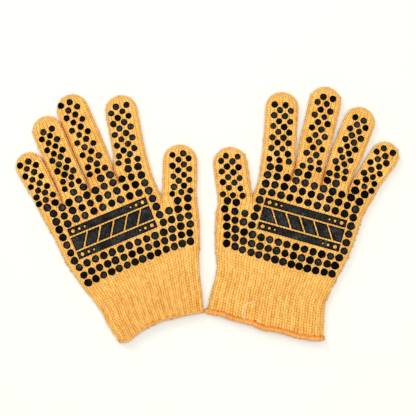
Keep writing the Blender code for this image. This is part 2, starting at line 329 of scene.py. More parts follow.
class Knit:
    """All the grids of one glove, joined where they meet, with the stitches raised on them."""

    def __init__(self, grids):
        points, faces, pieces, stitches, sheets, calm, digits = [], [], [], [], [], [], []
        start = 0
        for grid in grids:
            rows, columns = grid.shape
            index = np.arange(rows * columns).reshape(rows, columns)
            corners = [index[:-1, :-1], index[:-1, 1:], index[1:, 1:], index[1:, :-1]]
            quads = np.stack(corners, -1).reshape(-1, 4)
            for sheet, order, part in ((grid.top, quads, 1.0), (grid.bottom, quads[:, ::-1], -1.0)):
                points.append(sheet.reshape(-1, 3))
                faces.append(order + start)
                pieces += [grid.piece] * len(order)
                stitches.append(np.column_stack([grid.wale.ravel(), grid.course.ravel()]))
                sheets.append(np.full(rows * columns, part))
                digits.append(np.full(rows * columns, grid.piece.split("_")[0]))
                calm.append(grid.calm.ravel())
                start += rows * columns
        points, stitches = np.vstack(points), np.vstack(stitches)
        calm, sheets = np.concatenate(calm), np.concatenate(sheets)
        faces = np.vstack(faces)
        places = np.round(points / WELD).astype(np.int64)
        _, first, index = np.unique(places, axis=0, return_index=True, return_inverse=True)
        self.points, self.stitch = points[first], stitches[first]
        self.calm, self.sheet, self.digit = calm[first], sheets[first], np.concatenate(digits)[first]
        self.faces = index.reshape(-1)[faces]
        self.pieces = np.array(pieces)

    def normals(self):
        corners = self.points[self.faces]
        face = np.cross(corners[:, 2] - corners[:, 0], corners[:, 3] - corners[:, 1])
        total = np.zeros_like(self.points)
        for k in range(4):
            np.add.at(total, self.faces[:, k], face)
        length = np.linalg.norm(total, axis=1, keepdims=True)
        return total / np.maximum(length, 1e-12)

    def settle(self, seed):
        """Slow unevenness of a glove that has been laid down by hand."""
        x, y, z = self.points.T
        lift = np.clip(z - MIDDLE, 0, None) / DEPTH
        self.points[:, 2] += lift * (0.45 * ripple(x, y, seed, 26) + 0.2 * ripple(x, y, seed + 3, 9))

    def crease_shade(self):
        """1 where the side of a digit faces another digit closely, 0 in the open: where painted shade darkens
        the knit.
        """
        depth = np.zeros(len(self.points))
        side = np.abs(self.points[:, 2] - MIDDLE) < FLANK_HEIGHT
        flank = {finger: np.flatnonzero((self.digit == finger) & side) for finger in FINGERS}
        for a, b in zip(FINGERS, FINGERS[1:]):
            for own, other in ((flank[a], flank[b]), (flank[b], flank[a])):
                tree = KDTree(len(other))
                for k in other:
                    tree.insert(self.points[k], int(k))
                tree.balance()
                gap = np.array([tree.find(self.points[k])[2] for k in own])
                depth[own] = np.maximum(depth[own], smooth(1.4 - gap / 2.2))
        return depth

    def raise_stitches(self, rib_share):
        """Two slanting legs in each wale, and ribs in the cuff."""
        wale, course = self.stitch.T
        normal = self.normals()
        leaning = wale % 1 - 0.5
        side = np.abs(leaning)
        leg = TWO_LEGS * np.sin(2 * math.pi * side) + HUMP * np.cos(math.pi * side)
        slant = (course - LEG_SLANT * side - LEG_LEAN * leaning) % 1
        height = STITCH_HEIGHT * (leg * (0.45 + 0.55 * np.sin(math.pi * slant)) - 0.5) * self.calm
        y = self.points[:, 1]
        begun = smooth((CUFF_START + 2 - y) / RIB_FADE)
        near_hem = smooth((HEM_RIBS - y) / HEM_FADE)
        wobble = 0.35 * ripple(self.points[:, 0], y, 5, 18)
        rib = np.cos(2 * math.pi * (wale + wobble) / RIB_WALES)
        ribbing = begun * (rib_share + (1 - rib_share) * 0.4 * near_hem)
        height += RIB_HEIGHT * rib * ribbing
        height += 0.16 * ripple(self.points[:, 0] + self.points[:, 2], y, 8, 4.6)
        self.points = self.points + normal * height[:, None]
        # Painted shade: darker knit in the valleys between the cuff's ribs and where a finger's side faces
        # its neighbour.
        painted_shade = 0.9 * np.maximum(0.3 * ribbing * smooth(0.5 - 0.7 * rib), self.crease_shade())
        self.stitch = np.column_stack([wale, course, painted_shade])


# Places in the world


class Hand:
    """One glove's frame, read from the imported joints, and its digits."""

    def __init__(self, name, glove):
        self.name, self.glove = name, glove
        joint = joints[name + "_wrist_fold"]
        self.level = -np.array(joint["axis"], float)[:2]
        self.up = np.array([-self.level[1], self.level[0]])
        self.thumbwards = glove["side"] * self.level
        wrist = np.array(joint["pos_m"], float)[:2] / MM
        self.origin = wrist - glove["wrist_x"] * self.thumbwards - WRIST * self.up
        self.digits = {digit: self.digit(digit) for digit in WALES}

    def local(self, point):
        offset = np.asarray(point, float)[..., :2] / MM - self.origin
        return np.stack([offset @ self.thumbwards, offset @ self.up], -1)

    def world(self, points):
        points = np.asarray(points, float)
        plan = self.origin + points[..., :1] * self.thumbwards + points[..., 1:2] * self.up
        return np.concatenate([plan, points[..., 2:3]], -1) * MM

    def digit(self, digit):
        """Where the digit folds, its direction, its length and its half-widths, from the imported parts."""
        first = self.local(joints[f"{self.name}_{digit}_knuckle"]["pos_m"])
        second = self.local(joints[f"{self.name}_{digit}_middle"]["pos_m"])
        forward = (second - first) / np.linalg.norm(second - first)
        across = np.array([forward[1], -forward[0]])

        def reach(part):
            node = frame["nodes"][f"{self.name}_{digit}_{part}"]
            points = self.local([v.co for v in node.data.vertices]) - first
            return points @ forward, np.abs(points @ across)

        base_along, base_across = reach("base")
        tip_along, tip_across = reach("tip")
        return {"first": first, "second": float(np.linalg.norm(second - first)),
                "forward": forward, "across": across,
                "length": float(tip_along.max()), "half": float(tip_across.max()),
                "root": float(base_across[base_along < 5].max())}


# Grids of one glove


def tip_rows(half, last):
    """(distance, half-width, depth share) from where a digit starts to round off up to its end."""
    count = int(half * math.pi / 2 / ROW)
    turn = np.linspace(0, math.pi / 2, count + 1)[1:]
    blunt = np.sin(turn)
    width = np.maximum(np.cos(turn), 0) ** 0.92
    depth = np.maximum(1 - blunt ** 5, 0) ** 0.42
    return last + half * blunt, half * width, depth


def digit_grid(hand, digit, starts, crotches, opened, first_wale, first_row):
    """A digit from the palm to its tip. Its sides start on the palm, pass its crotches and go on straight.
    opened says, for each side, whether it is joined to a neighbour below the crotch."""
    d = hand.digits[digit]
    extra = hand.glove["wider"].get(digit, (0.0, 0.0))
    straight = d["length"] - d["half"]
    taper = 8.0 if digit == "thumb" else 22.0
    stations = [4.0, 8.0, 12.0] if digit == "thumb" else [7.0, 13.0, taper]
    stations += list(np.linspace(taper + 8, straight, 4)) if straight > taper + 16 else [straight]
    sides = []
    for sign, start, crotch, more in zip((-1, 1), starts, crotches, extra):
        points = [start, crotch]
        for s in stations:
            grown = min(s / taper, 1.0)
            half = d["root"] + (d["half"] - d["root"]) * grown + more * grown
            points.append(d["first"] + s * d["forward"] + sign * half * d["across"])
        sides.append(np.array(points, float))
    crotch_level = float(np.mean([(crotch - d["first"]) @ d["forward"] for crotch in crotches]))
    knots = [0.0, 1.0] + [1.0 + (s - crotch_level) / 10 for s in stations]
    count = int(round((straight - crotch_level) / ROW / ROWS)) * ROWS
    at = np.concatenate([np.linspace(0, 1, CROTCH_ROWS + 1), np.linspace(1, knots[-1], count + 1)[1:]])
    left, right = (along_curve(knots, points, at) for points in sides)
    reach, half, share = tip_rows(d["half"] + sum(extra) / 2, straight)
    middle = d["first"] + reach[:, None] * d["forward"] + (extra[1] - extra[0]) / 2 * d["across"]
    left = np.vstack([left, middle - half[:, None] * d["across"]])
    right = np.vstack([right, middle + half[:, None] * d["across"]])
    depth = np.concatenate([np.full(len(at), DEPTH), DEPTH * share])
    rolls = [opening(len(left)) if joined else 1.0 for joined in opened]
    grid = Grid(None, left, right, WALES[digit], first_wale, first_row, rolls, depth)
    grid.level = ((left + right) / 2 - d["first"]) @ d["forward"]
    return grid


def cut(grid, digit, level):
    """The grid as the digit's base and tip, cut at the row nearest to this distance along it."""
    row = int(np.argmin(np.abs(grid.level - level)))
    made = []
    for name, rows in (("base", slice(0, row + 1)), ("tip", slice(row, None))):
        part = Grid.__new__(Grid)
        part.piece = f"{digit}_{name}"
        for field in ("top", "bottom", "wale", "course", "calm"):
            setattr(part, field, getattr(grid, field)[rows])
        part.shape = part.top.shape[:2]
        made.append(part)
    return made


def upper_palm(glove):
    """The palm below the four fingers. Its rows are level, and its thumb side opens at the thumb's crotch."""
    above = np.linspace(0, FINGER_START, whole_courses(FINGER_START) + 1)[1:]
    levels = np.concatenate([np.linspace(THUMB_START, 0.0, CROTCH_ROWS + 1), above])
    crotch_path = THUMB_JOIN + np.linspace(0, 1, CROTCH_ROWS + 1)[:, None] * (THUMB_CROTCH - THUMB_JOIN)
    right = np.vstack([crotch_path, edge_points(glove, "upper_side", above)])
    left = edge_points(glove, "little_side", levels)
    return Grid("palm_upper", left, right, FINGER_WALES, 0, FIRST_ROW, (1.0, opening(len(levels))))


def finger_grids(hand, upper):
    """The four fingers, standing on the upper palm's top row."""
    ends = np.cumsum([0] + [WALES[finger] for finger in FINGERS])
    inner = [np.array(point, float) for point in hand.glove["crotches"]][::-1]
    crotches = [edge_points(hand.glove, "little_side", inner[0][1] - LITTLE_DROP)[0], *inner,
                edge_points(hand.glove, "upper_side", inner[-1][1] - INDEX_DROP)[0]]
    starts = upper.top[-1][ends * COLUMNS, :2]
    starts[0], starts[-1] = upper.left[-1], upper.right[-1]
    fade = (1 - smooth(np.linspace(0, 1, CROTCH_ROWS + 1)))[:, None, None]
    grids = []
    for number, finger in enumerate(FINGERS):
        both = slice(number, number + 2)
        opened = (number > 0, number < len(FINGERS) - 1)
        first_row = FIRST_ROW + upper.shape[0] - 1
        grid = digit_grid(hand, finger, starts[both], crotches[both], opened, ends[number], first_row)
        # The first row is the palm's own columns, and the rest come away from them by the crotch.
        own = slice(ends[number] * COLUMNS, ends[number + 1] * COLUMNS + 1)
        for sheet, palm in ((grid.top, upper.top[-1]), (grid.bottom, upper.bottom[-1])):
            sheet[:CROTCH_ROWS + 1] += fade * (palm[own] - sheet[0])[None]
        grids += cut(grid, finger, hand.digits[finger]["second"] / 2)
    return grids


def thumb_grid(hand, root):
    """The thumb, which leaves the side of the palm between the crotch and root."""
    d = hand.digits["thumb"]
    outer = d["first"] - THUMB_LEAD * d["forward"] + d["half"] * d["across"]
    return digit_grid(hand, "thumb", (THUMB_JOIN, root), (THUMB_CROTCH, outer), (True, False),
                      FINGER_WALES, FIRST_ROW)


def lower_palm(glove, upper, thumb, root):
    """From the first rows of the upper palm and the thumb down to the cuff."""
    top_row = np.vstack([upper.top[0, :, :2], thumb.top[0, 1:, :2]])
    top_height = np.concatenate([upper.top[0, :, 2], thumb.top[0, 1:, 2]]) - MIDDLE
    count = whole_courses(THUMB_START - CUFF_START)
    share = np.linspace(1, 0, count + 1)
    left = edge_points(glove, "little_side", between(THUMB_START, CUFF_START, share))
    right = edge_points(glove, "thumb_side", between(root[1], CUFF_START, share))
    lower = Grid("palm_lower", left, right, sum(WALES.values()), 0, FIRST_ROW - count)
    # Rows keep the bend of the top row and lose it on the way down.
    for sheet, sign in ((lower.top, 1), (lower.bottom, -1)):
        offset = np.column_stack([top_row, MIDDLE + sign * top_height]) - sheet[-1]
        sheet += offset[None] * (1 - share)[:, None, None]
    return lower


def cuff_grid(glove, lower):
    """The cuff, out to the hem."""
    count = whole_courses(CUFF_LENGTH)
    share = np.linspace(1, 0, count + 1)
    left, right = (edge_points(glove, side, between(CUFF_START, glove["hem"][end][1], share))
                   for side, end in (("little_side", 0), ("thumb_side", -1)))
    first_row = FIRST_ROW - (lower.shape[0] - 1) - count
    cuff = Grid("cuff", left, right, sum(WALES.values()), 0, first_row)
    shift_hem(cuff, glove, share)
    return cuff


def glove_grids(hand):
    """Every grid of a glove: upper palm, fingers, thumb, lower palm and cuff."""
    root_level = THUMB_START - THUMB_DROP
    root = edge_points(hand.glove, "thumb_side", root_level)[0]
    upper = upper_palm(hand.glove)
    thumb = thumb_grid(hand, root)
    lower = lower_palm(hand.glove, upper, thumb, root)
    thumb_parts = cut(thumb, "thumb", hand.digits["thumb"]["second"] / 2)
    return [upper, *finger_grids(hand, upper), *thumb_parts, lower, cuff_grid(hand.glove, lower)]


def shift_hem(cuff, glove, share):
    """Lets the cuff's rows take up the curve of its hem."""
    hem = np.array(glove["hem"], float)
    first, last = cuff.top[0, 0], cuff.top[0, -1]
    place = (cuff.top[0, :, 0] - first[0]) / (last[0] - first[0])
    target = along_curve(hem[:, 0], hem[:, 1], place)
    offset = target - cuff.top[0, :, 1]
    for sheet in (cuff.top, cuff.bottom):
        sheet[:, :, 1] += offset[None, :] * (share ** 1.5)[:, None]


# Materials


class Nodes:
    """A short way to write a material's node tree."""

    def __init__(self, name):
        self.material = bpy.data.materials.new(name)
        self.material.use_nodes = True
        self.tree = self.material.node_tree
        self.shader = self.tree.nodes["Principled BSDF"]

    def add(self, kind, **settings):
        node = self.tree.nodes.new("ShaderNode" + kind)
        for key, value in settings.items():
            setattr(node, key, value)
        return node

    def put(self, value, socket):
        if isinstance(value, bpy.types.NodeSocket):
            self.tree.links.new(value, socket)
        else:
            socket.default_value = value

    def math(self, operation, a, b=0.0):
        node = self.add("Math", operation=operation)
        for value, socket in zip((a, b), node.inputs):
            self.put(value, socket)
        return node.outputs[0]

    def plus(self, a, b):
        return self.math("ADD", a, b)

    def minus(self, a, b):
        return self.math("SUBTRACT", a, b)

    def times(self, a, b):
        return self.math("MULTIPLY", a, b)

    def noise(self, vector, scale, detail=3.0, roughness=0.5):
        node = self.add("TexNoise")
        self.put(vector, node.inputs["Vector"])
        for key, value in (("Scale", scale), ("Detail", detail), ("Roughness", roughness)):
            node.inputs[key].default_value = value
        return node.outputs["Fac"]

    def ramp(self, factor, stops):
        node = self.add("ValToRGB")
        elements = node.color_ramp.elements
        while len(elements) < len(stops):
            elements.new(0.5)
        for element, (position, colour) in zip(elements, stops):
            element.position = position
            element.color = (*colour, 1.0)
        self.put(factor, node.inputs["Fac"])
        return node.outputs["Color"]

    def mix(self, factor, a, b):
        node = self.add("Mix", data_type="RGBA")
        for value, key in ((factor, "Factor"), (a, "A"), (b, "B")):
            self.put(value, node.inputs[key])
        return node.outputs["Result"]

    def scaled(self, vector, scale):
        node = self.add("VectorMath", operation="MULTIPLY")
        self.put(vector, node.inputs[0])
        node.inputs[1].default_value = scale
        return node.outputs[0]

    def finish(self, colour, roughness, height, distance):
        """The colour, the roughness and the relief of the surface. Returns the material."""
        node = self.add("Bump")
        node.inputs["Strength"].default_value = 0.8
        node.inputs["Distance"].default_value = distance
        self.put(height, node.inputs["Height"])
        values = {"Base Color": colour, "Roughness": roughness, "Normal": node.outputs["Normal"]}
        for key, value in values.items():
            self.put(value, self.shader.inputs[key])
        return self.material

    def attribute(self, name):
        return self.add("Attribute", attribute_name=name).outputs["Vector"]


def knit_material(name, dark, light, pale):
    """Cotton knit: two slanting legs of yarn in each stitch, with painted shade between them and a painted
    highlight on them, and loose fibres.
    """
    n = Nodes(name)
    stitch = n.attribute("stitch")
    parts = n.add("SeparateXYZ")
    n.put(stitch, parts.inputs[0])
    # The stitch attribute's third value holds painted shade in its fraction; its whole part only moves the
    # noise.
    wale, course, painted_shade = parts.outputs
    leaning = n.minus(n.math("FRACT", wale), 0.5)
    side = n.math("ABSOLUTE", leaning)
    slanted = n.minus(n.minus(course, n.times(side, LEG_SLANT)), n.times(leaning, LEG_LEAN))
    leg_across = n.math("SINE", n.times(n.math("FRACT", slanted), math.pi))
    two_legs = n.times(n.math("SINE", n.times(side, 2 * math.pi)), TWO_LEGS)
    leg_along = n.plus(two_legs, n.times(n.math("COSINE", n.times(side, math.pi)), HUMP))
    leg = n.times(n.math("POWER", leg_across, 0.5), n.math("POWER", leg_along, 0.8))
    in_mm = n.scaled(stitch, (WALE_WIDTH, ROW * ROWS, 1.0))
    fibre = n.noise(n.scaled(in_mm, (3.4, 1.5, 1.0)), 2.4, 4.0, 0.65)
    # Each leg of each stitch has a shade of its own.
    cells = n.add("CombineXYZ")
    n.put(n.math("FLOOR", n.times(wale, 2.0)), cells.inputs[0])
    n.put(n.math("FLOOR", slanted), cells.inputs[1])
    shade = n.add("TexWhiteNoise", noise_dimensions="2D")
    n.put(cells.outputs[0], shade.inputs["Vector"])
    uneven = n.noise(in_mm, 0.06, 3.0, 0.6)
    # The legs' shape paints shade into the gaps between the yarn and a highlight on the legs.
    tone = n.plus(n.times(leg, 0.7), n.times(fibre, 0.44))
    tone = n.plus(tone, n.times(n.minus(shade.outputs["Value"], 0.5), 0.24))
    tone = n.plus(tone, n.times(n.minus(uneven, 0.5), 0.3))
    # Painted shade in rib valleys, on the sides of fingers that face each other and on the hem's edges.
    tone = n.minus(tone, n.times(n.math("FRACT", painted_shade), 0.5))
    colour = n.ramp(tone, ((0.12, dark), (0.62, light), (1.0, pale)))
    specks = n.math("GREATER_THAN", n.noise(n.scaled(in_mm, (1.0, 0.6, 1.0)), 0.55, 2.0), 0.77)
    speck_colour = (dark[0] * 0.6, dark[1] * 0.5, dark[2] * 0.5, 1.0)
    colour = n.mix(n.times(specks, 0.45), colour, speck_colour)
    n.shader.inputs["Specular IOR Level"].default_value = 0.2
    n.shader.inputs["Sheen Weight"].default_value = 0.22
    n.shader.inputs["Sheen Roughness"].default_value = 0.6
    n.shader.inputs["Sheen Tint"].default_value = (1.0, 0.82, 0.6, 1.0)
    roughness = n.minus(0.98, n.times(fibre, 0.16))
    return n.finish(colour, roughness, n.plus(leg, n.times(fibre, 0.45)), 0.0005)


def rubber_material(name, base, grain_and_sheen_grey, pale):
    """Rubber printed on knit: a soft sheen, with a fine grain whose greyer specks and patches are partly
    painted sheen, and painted shade at its edges.
    """
    n = Nodes(name)
    place = n.add("TexCoord").outputs["Object"]
    grain = n.noise(place, 1000, 3.0, 0.7)
    patch = n.noise(place, 130, 3.0, 0.6)
    # rim is painted shade towards the edge of each dot and plate, where the rubber meets the knit, and on
    # some dots a random darker tone.
    rim = n.add("Attribute", attribute_name="rim").outputs["Fac"]
    tone = n.plus(n.times(grain, 0.65), n.times(patch, 0.35))
    tone = n.minus(tone, n.times(rim, 0.3))
    # The grey and pale stops show the grain and also stand in for the sheen on the rubber's tops: partly
    # painted sheen.
    colour = n.ramp(tone, ((0.42, base), (0.56, grain_and_sheen_grey), (0.66, pale)))
    roughness = n.plus(n.plus(0.3, n.times(tone, 0.4)), n.times(rim, 0.5))
    n.shader.inputs["Specular IOR Level"].default_value = 0.035
    return n.finish(colour, roughness, n.plus(n.times(grain, 0.6), n.times(patch, 0.6)), 0.0002)


def thread_material(name, dark, light):
    """Wrapped thread."""
    n = Nodes(name)
    wrap = n.noise(n.add("TexCoord").outputs["Object"], 900, 3.0, 0.6)
    colour = n.ramp(wrap, ((0.3, dark), (0.7, light)))
    return n.finish(colour, n.plus(0.6, n.times(wrap, 0.3)), wrap, 0.0002)


# Meshes


def mesh_object(name, points, faces, materials, stitch=None, slots=None, rim=None):
    """A smooth-shaded mesh from arrays. Faces are four-sided; one that repeats a corner has three."""
    mesh = bpy.data.meshes.new(name)
    distinct = [list(dict.fromkeys(face)) for face in faces.tolist()]
    keep = [k for k, face in enumerate(distinct) if len(face) > 2]
    mesh.from_pydata(points.tolist(), [], [distinct[k] for k in keep])
    if slots is not None:
        mesh.polygons.foreach_set("material_index", np.asarray(slots, np.int32)[keep])
    for material in materials:
        mesh.materials.append(material)
    if stitch is not None:
        layer = mesh.attributes.new("stitch", "FLOAT_VECTOR", "POINT")
        layer.data.foreach_set("vector", np.asarray(stitch, np.float32).ravel())
    if rim is not None:
        mesh.attributes.new("rim", "FLOAT", "POINT").data.foreach_set("value", np.asarray(rim, np.float32))
    mesh.polygons.foreach_set("use_smooth", np.ones(len(mesh.polygons), bool))
    mesh.update()
    obj = bpy.data.objects.new(name, mesh)
    bpy.context.scene.collection.objects.link(obj)
    return obj


def tube(path, radius, sides, closed=False):
    """(points, four-sided faces) of a round tube along a path. radius is a number, one for each point, or
    a function of the point's number and the angle."""
    ahead = np.roll(path, -1, axis=0) - np.roll(path, 1, axis=0) if closed else np.gradient(path, axis=0)
    ahead /= np.maximum(np.linalg.norm(ahead, axis=1, keepdims=True), 1e-12)
    guide = np.zeros_like(ahead)
    guide[0] = np.cross(ahead[0], (0.31, 0.52, 0.79))
    guide[0] /= np.linalg.norm(guide[0])
    for k in range(1, len(path)):
        guide[k] = guide[k - 1] - (guide[k - 1] @ ahead[k]) * ahead[k]
        guide[k] /= max(np.linalg.norm(guide[k]), 1e-12)
    other = np.cross(ahead, guide)
    turn = 2 * math.pi * np.arange(sides) / sides
    twist = 0.0
    if closed:
        # The guide has turned a little on its way round, and each ring takes back its share.
        end = guide[-1] - (guide[-1] @ ahead[0]) * ahead[0]
        twist = math.atan2(end @ other[0], end @ guide[0])
    rings = len(path)
    angle = (turn[None, :] - twist * (np.arange(rings) / rings)[:, None])[..., None]
    if callable(radius):
        radius = radius(np.arange(rings)[:, None], turn[None, :])
    else:
        radius = np.asarray(radius).reshape(-1, 1)
    around = np.cos(angle) * guide[:, None] + np.sin(angle) * other[:, None]
    points = path[:, None] + radius[..., None] * around
    faces = []
    for k in range(rings if closed else rings - 1):
        a, b = k * sides, (k + 1) % rings * sides
        for j in range(sides):
            i = (j + 1) % sides
            faces.append((a + j, a + i, b + i, b + j))
    return points.reshape(-1, 3), np.array(faces)


class Surface:
    """The knit seen from above, before its stitches are raised, to lay rubber on."""

    def __init__(self, knit):
        above = knit.faces[knit.sheet[knit.faces[:, 0]] > 0]
        self.tree = BVHTree.FromPolygons(knit.points.tolist(), above.tolist())

    def height(self, x, y):
        hit = self.tree.ray_cast(Vector((x, y, 60.0)), Vector((0, 0, -1)))[0]
        return hit.z if hit is not None else MIDDLE


def dot_shape(radius, height):
    """(rings of (distance, height)) of a dot: a steep rim, a rounded shoulder and a shallow dimple."""
    return [(radius * 0.97, -0.6), (radius, 0.1 * height), (radius * 0.985, 0.45 * height),
            (radius * 0.92, 0.78 * height), (radius * 0.8, 0.96 * height), (radius * 0.6, height),
            (radius * 0.35, 0.93 * height)]


def dots_mesh(surface, centres, radius, seed):
    """One mesh of dots laid on the knit."""
    random = np.random.default_rng(seed)
    points, faces, rim = [], [], []
    sides = DOT_SIDES
    for x, y in centres:
        x, y = x + random.normal(0, 0.13), y + random.normal(0, 0.13)
        own = radius * random.uniform(0.94, 1.05)
        squash, lean = random.uniform(0.93, 1.0), random.uniform(0, math.pi)
        rings = dot_shape(own, DOT_HEIGHT * random.uniform(0.85, 1.1))
        wave = 1 + 0.02 * np.sin(3 * np.arange(sides) * 2 * math.pi / sides + random.uniform(0, 6))
        wave += 0.012 * np.sin(5 * np.arange(sides) * 2 * math.pi / sides + random.uniform(0, 6))
        around = ((0, 0), (own, 0), (-own, 0), (0, own), (0, -own))
        level = [surface.height(x + dx, y + dy) for dx, dy in around]
        slope_x, slope_y = (level[1] - level[2]) / (2 * own), (level[3] - level[4]) / (2 * own)
        sag = (np.mean(level[1:]) - level[0]) / own ** 2
        start = len(points)
        for distance, up in rings:
            for k in range(sides):
                angle = 2 * math.pi * k / sides
                a = distance * wave[k] * math.cos(angle - lean)
                b = squash * distance * wave[k] * math.sin(angle - lean)
                dx, dy = a * math.cos(lean) - b * math.sin(lean), a * math.sin(lean) + b * math.cos(lean)
                fabric = level[0] + slope_x * dx + slope_y * dy + sag * distance ** 2
                points.append((x + dx - slope_x * up, y + dy - slope_y * up, fabric + up))
        points.append((x, y, level[0] + rings[-1][1] * 0.97))
        # The rings get painted shade towards the rim; darker is a random tone for the whole dot.
        darker = random.choice((0.0, 0.1, 0.25, 0.5))
        rim += list(np.maximum(np.repeat(RIM_SHADE, sides), darker)) + [darker]
        for ring in range(len(rings) - 1):
            for k in range(sides):
                a, b = start + ring * sides, start + (ring + 1) * sides
                j = (k + 1) % sides
                faces.append((a + k, a + j, b + j, b + k))
        last, centre = start + (len(rings) - 1) * sides, len(points) - 1
        faces += [(last + k, last + (k + 1) % sides, centre, centre) for k in range(sides)]
    return np.array(points), np.array(faces), np.array(rim)


def palm_dots(glove):
    """Centres of the dots on the palm, in lines."""
    centres = []
    for (x0, y0), (x1, y1), count, bow in glove["dot_lines"]:
        for t in np.linspace(0, 1, count):
            centres.append((x0 + t * (x1 - x0), y0 + t * (y1 - y0) + bow * (1 - (2 * t - 1) ** 4)))
    return np.array(centres) + glove["print_shift"]


def digit_dots(hand, digit):
    """(distance along the digit, centre) of each of its dots: a row of three, then staggered pairs."""
    triple, first, pitch, pairs, middle, drift, spacing, rise = hand.glove["finger_dots"][digit]
    d = hand.digits[digit]
    lead = THUMB_LEAD if digit == "thumb" else 0.0
    start = d["first"] - lead * d["forward"] + hand.glove["print_shift"]
    places = [(triple + rise * k * 9.0, middle + k * 0.87 * spacing) for k in (-1, 0, 1)]
    for k in range(pairs):
        shift = middle + drift * k / pairs + (-0.25 if k % 2 == 0 else 0.25) * spacing
        for side in (-1, 1):
            across = shift + side * spacing / 2
            places.append((first + pitch * k + rise * across, across))
    return [(s - lead, start + s * d["forward"] + c * d["across"]) for s, c in places]


def spread_dots(centres, radii, glove):
    """The centres moved apart where dots would touch each other or the panel."""
    centres = np.array(centres, float)
    half, middle = np.array(PANEL_SIZE) / 2, np.array(glove["panel_centre"])
    for _ in range(40):
        step = centres[:, None] - centres
        distance = np.linalg.norm(step, axis=-1) + np.eye(len(centres)) * 100
        short = np.clip(radii[:, None] + radii + DOT_GAP - distance, 0, None)
        centres += 0.35 * (step * (short / distance)[..., None]).sum(1)
        away = centres - middle
        clear = np.abs(away) - half - radii[:, None] - DOT_GAP
        for k in np.flatnonzero((clear < 0).all(1)):
            axis = clear[k].argmax()
            centres[k, axis] -= np.sign(away[k, axis]) * clear[k, axis]
    return centres


def plate(surface, outline, holes=()):
    """A rubber shape with a rounded edge, laid on the knit."""
    loops = []
    for loop in [outline, *holes]:
        loop = np.asarray(loop, float)
        dense = []
        for a, b in zip(loop, np.roll(loop, -1, axis=0)):
            steps = max(1, int(np.hypot(*(b - a)) / 0.8))
            dense += [a + (b - a) * k / steps for k in range(steps)]
        loops.append(np.array(dense))
    starts = np.concatenate(loops)
    ends = np.concatenate([np.roll(loop, -1, axis=0) for loop in loops])

    def inside_distance(points):
        """Distance to the outline, negative outside the shape."""
        step = ends - starts
        t = ((points[:, None] - starts) * step).sum(-1) / (step ** 2).sum(-1)
        near = starts + np.clip(t, 0, 1)[..., None] * step
        distance = np.linalg.norm(points[:, None] - near, axis=-1).min(1)
        crossing = ((starts[:, 1] > points[:, None, 1]) != (ends[:, 1] > points[:, None, 1])) & (
            points[:, None, 0] < (ends[:, 0] - starts[:, 0]) * (points[:, None, 1] - starts[:, 1])
            / np.where(ends[:, 1] == starts[:, 1], 1e-9, ends[:, 1] - starts[:, 1]) + starts[:, 0])
        return np.where(crossing.sum(1) % 2 == 1, distance, -distance)

    inner = [np.zeros((0, 2))]
    along = ends - starts
    normal = np.column_stack([-along[:, 1], along[:, 0]]) / np.linalg.norm(along, axis=1, keepdims=True)
    middles = (starts + ends) / 2
    for inset in (0.18, 0.45):
        for sign in (1, -1):
            moved = middles + sign * inset * normal
            inner.append(moved[np.abs(inside_distance(moved) - inset) < 0.02])
    low, high = starts.min(0), starts.max(0)
    x, y = np.meshgrid(np.arange(low[0], high[0], 1.1), np.arange(low[1], high[1], 1.1))
    grid = np.column_stack([x.ravel() + 0.55 * (np.arange(x.size) // x.shape[1] % 2), y.ravel()])
    inner.append(grid[inside_distance(grid) > 0.9])
    points = np.vstack([starts, *inner])
    edges, at = [], 0
    for loop in loops:
        edges += [(at + k, at + (k + 1) % len(loop)) for k in range(len(loop))]
        at += len(loop)
    flat, _, triangles, *_ = delaunay_2d_cdt([Vector(p) for p in points], edges, [], 0, 1e-5)
    flat = np.array([tuple(p) for p in flat])
    centres = np.array([flat[list(t)].mean(0) for t in triangles])
    inside = inside_distance(centres) > 1e-4
    triangles = [tuple(t) for t, keep in zip(triangles, inside) if keep]
    depth = np.clip(inside_distance(flat), 0, None)
    rise = RUBBER * np.clip(1 - (1 - np.clip(depth / 0.5, 0, 1)) ** 2.4, 0, 1)
    rise = np.where(depth < 1e-4, -0.45, rise)
    height = np.array([surface.height(*p) for p in flat])
    points = np.column_stack([flat, height + rise])
    faces = []
    for a, b, c in triangles:
        turned = np.cross(points[b, :2] - points[a, :2], points[c, :2] - points[a, :2])
        faces.append((a, b, c, c) if turned > 0 else (a, c, b, b))
    # The last value is painted shade, darkest at the plate's edge.
    return points, np.array(faces), smooth(1 - depth / 0.9)


def panel_shapes(glove):
    """{node: (outline, holes)} of the panel across the palm: two bars and the slats between them."""
    centre = np.array(glove["panel_centre"])
    half_x, half_y = PANEL_SIZE[0] / 2, PANEL_SIZE[1] / 2
    turn = 2 * math.pi * np.arange(HOLE_SIDES) / HOLE_SIDES
    shapes = {}
    for name, row in (("upper", 1), ("lower", -1)):
        inner, outer = row * (half_y - BAR_HEIGHT), row * half_y
        outline = centre + np.array([(-half_x, inner), (half_x, inner), (half_x, outer), (-half_x, outer)])
        holes = [centre + np.column_stack([end * (half_x - distance) + radius * np.cos(turn),
                                           (inner + outer) / 2 + radius * np.sin(turn)])
                 for end in (-1, 1) for distance, radius in BAR_HOLES]
        shapes["grip_bar_" + name] = (outline, holes)
    reach = half_y - BAR_HEIGHT - SLAT_GAP
    pitch = (PANEL_SIZE[0] + SLAT_GAP) / SLAT_COUNT
    for number in range(SLAT_COUNT):
        left = -half_x + number * pitch
        right = left + pitch - SLAT_GAP
        lean_left = 0.0 if number == 0 else SLAT_LEAN / 2
        lean_right = 0.0 if number == SLAT_COUNT - 1 else SLAT_LEAN / 2
        outline = centre + np.array([(left - lean_left, -reach), (right - lean_right, -reach),
                                     (right + lean_right, reach), (left + lean_left, reach)])
        shapes[f"grip_slat_{number + 1}"] = (outline, [])
    return shapes


